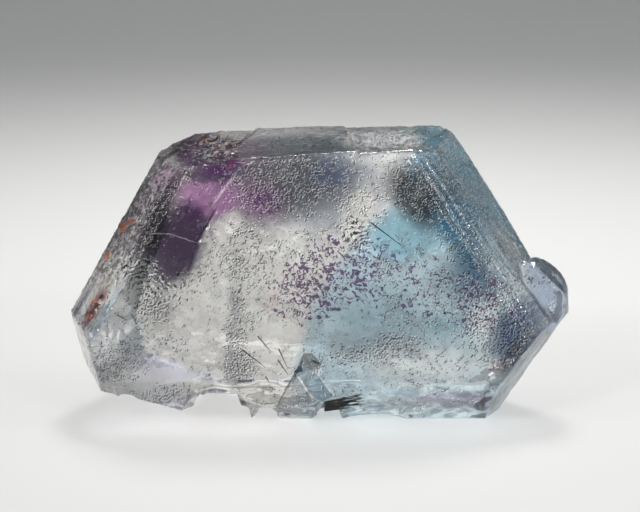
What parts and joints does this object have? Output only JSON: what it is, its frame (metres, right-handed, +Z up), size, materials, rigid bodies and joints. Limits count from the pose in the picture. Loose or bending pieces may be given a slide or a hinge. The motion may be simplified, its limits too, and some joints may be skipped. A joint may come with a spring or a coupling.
{
  "type": "fluorite crystal",
  "caption": "Loose colour-zoned fluorite crystal, clear with blue and violet zones, a broad etched front face, stepped bevels and a broken lower edge, for display.",
  "frame": {"origin": "under the middle of the crystal, in the plane that it stands on", "axes": "+Z up, +X along the crystal's width, -Y out of the broad etched face"},
  "size_m": [0.0612, 0.0274, 0.0339],
  "materials": {
    "crystal": "clear, etched all over, with violet, blue and colourless zones",
    "needles": "black mineral needles with a dull lustre"
  },
  "bodies": {
    "root": {"crystal": "crystal", "needle_sheaf": "needles"}
  },
  "joints": []
}
